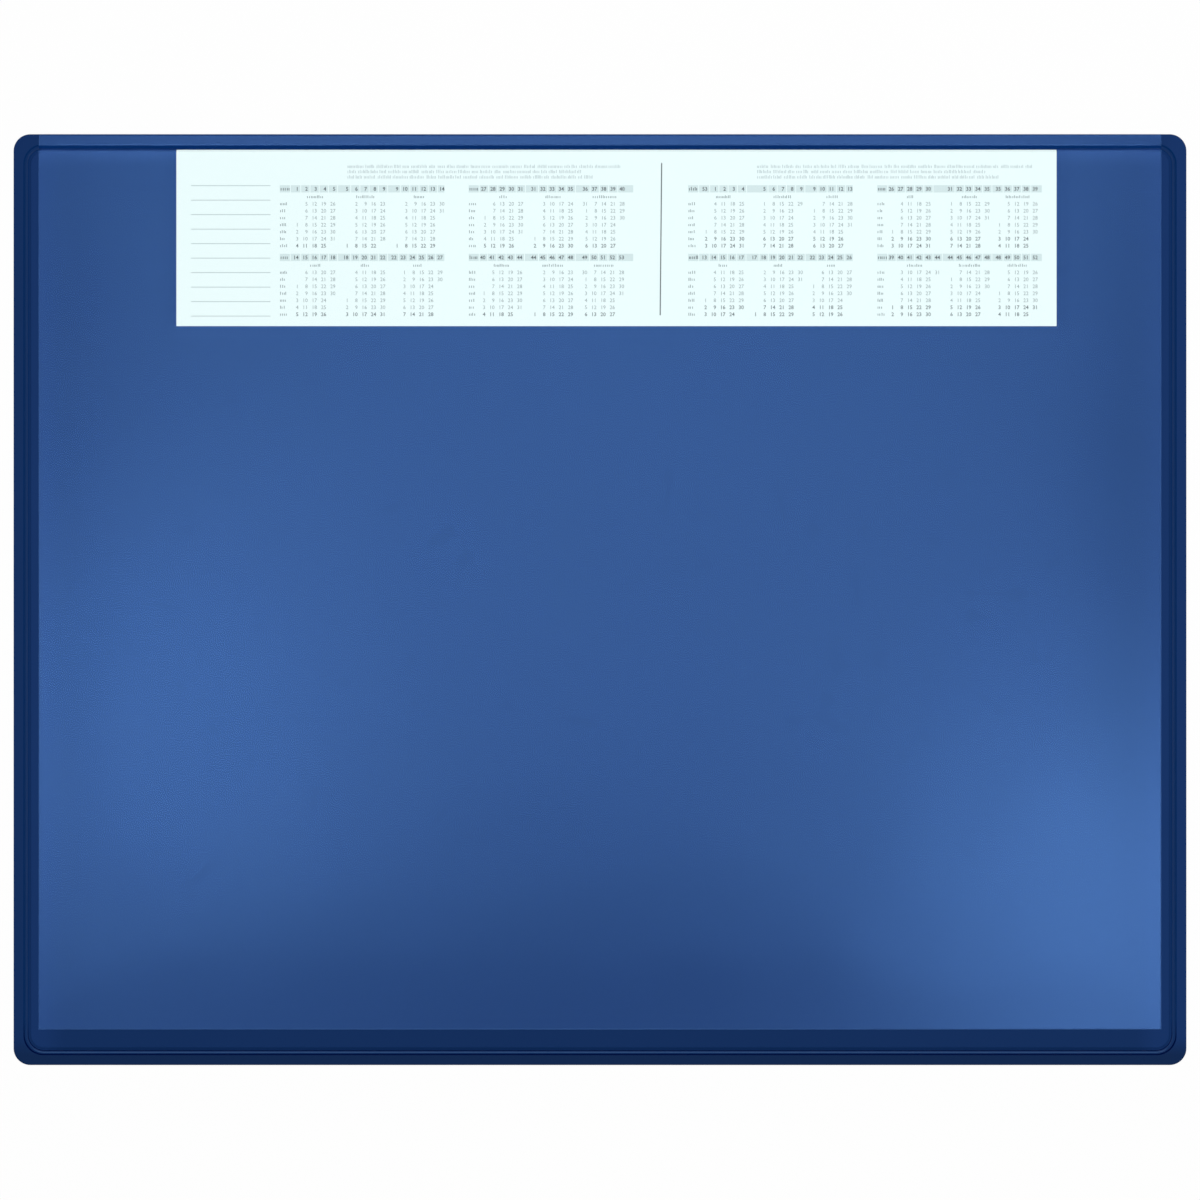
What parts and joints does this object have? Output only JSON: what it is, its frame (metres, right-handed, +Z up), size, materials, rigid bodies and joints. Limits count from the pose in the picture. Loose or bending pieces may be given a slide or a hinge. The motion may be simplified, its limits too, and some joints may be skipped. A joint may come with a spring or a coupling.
{
  "type": "desk mat",
  "caption": "Welded PVC desk mat with a stiff padded core, a clear writing film welded along its far edge, and a calendar strip held under the film.",
  "frame": {"origin": "the middle of the underside, on the table", "axes": "+X along the long side, +Y to the edge with the calendar, +Z up"},
  "size_m": [0.63, 0.5, 0.0022],
  "materials": {
    "backing": "fine non-slip grain",
    "board": "plain grey board",
    "cover": "satin PVC with a fine leather grain",
    "calendar": "matte, printed in pale grey",
    "film": "clear film with a matte, finely grained face"
  },
  "bodies": {
    "root": {"backing_sheet": "backing", "filler_board": "board", "cover_sheet": "cover", "calendar_sheet": "calendar", "overlay_film": "film"}
  },
  "joints": []
}
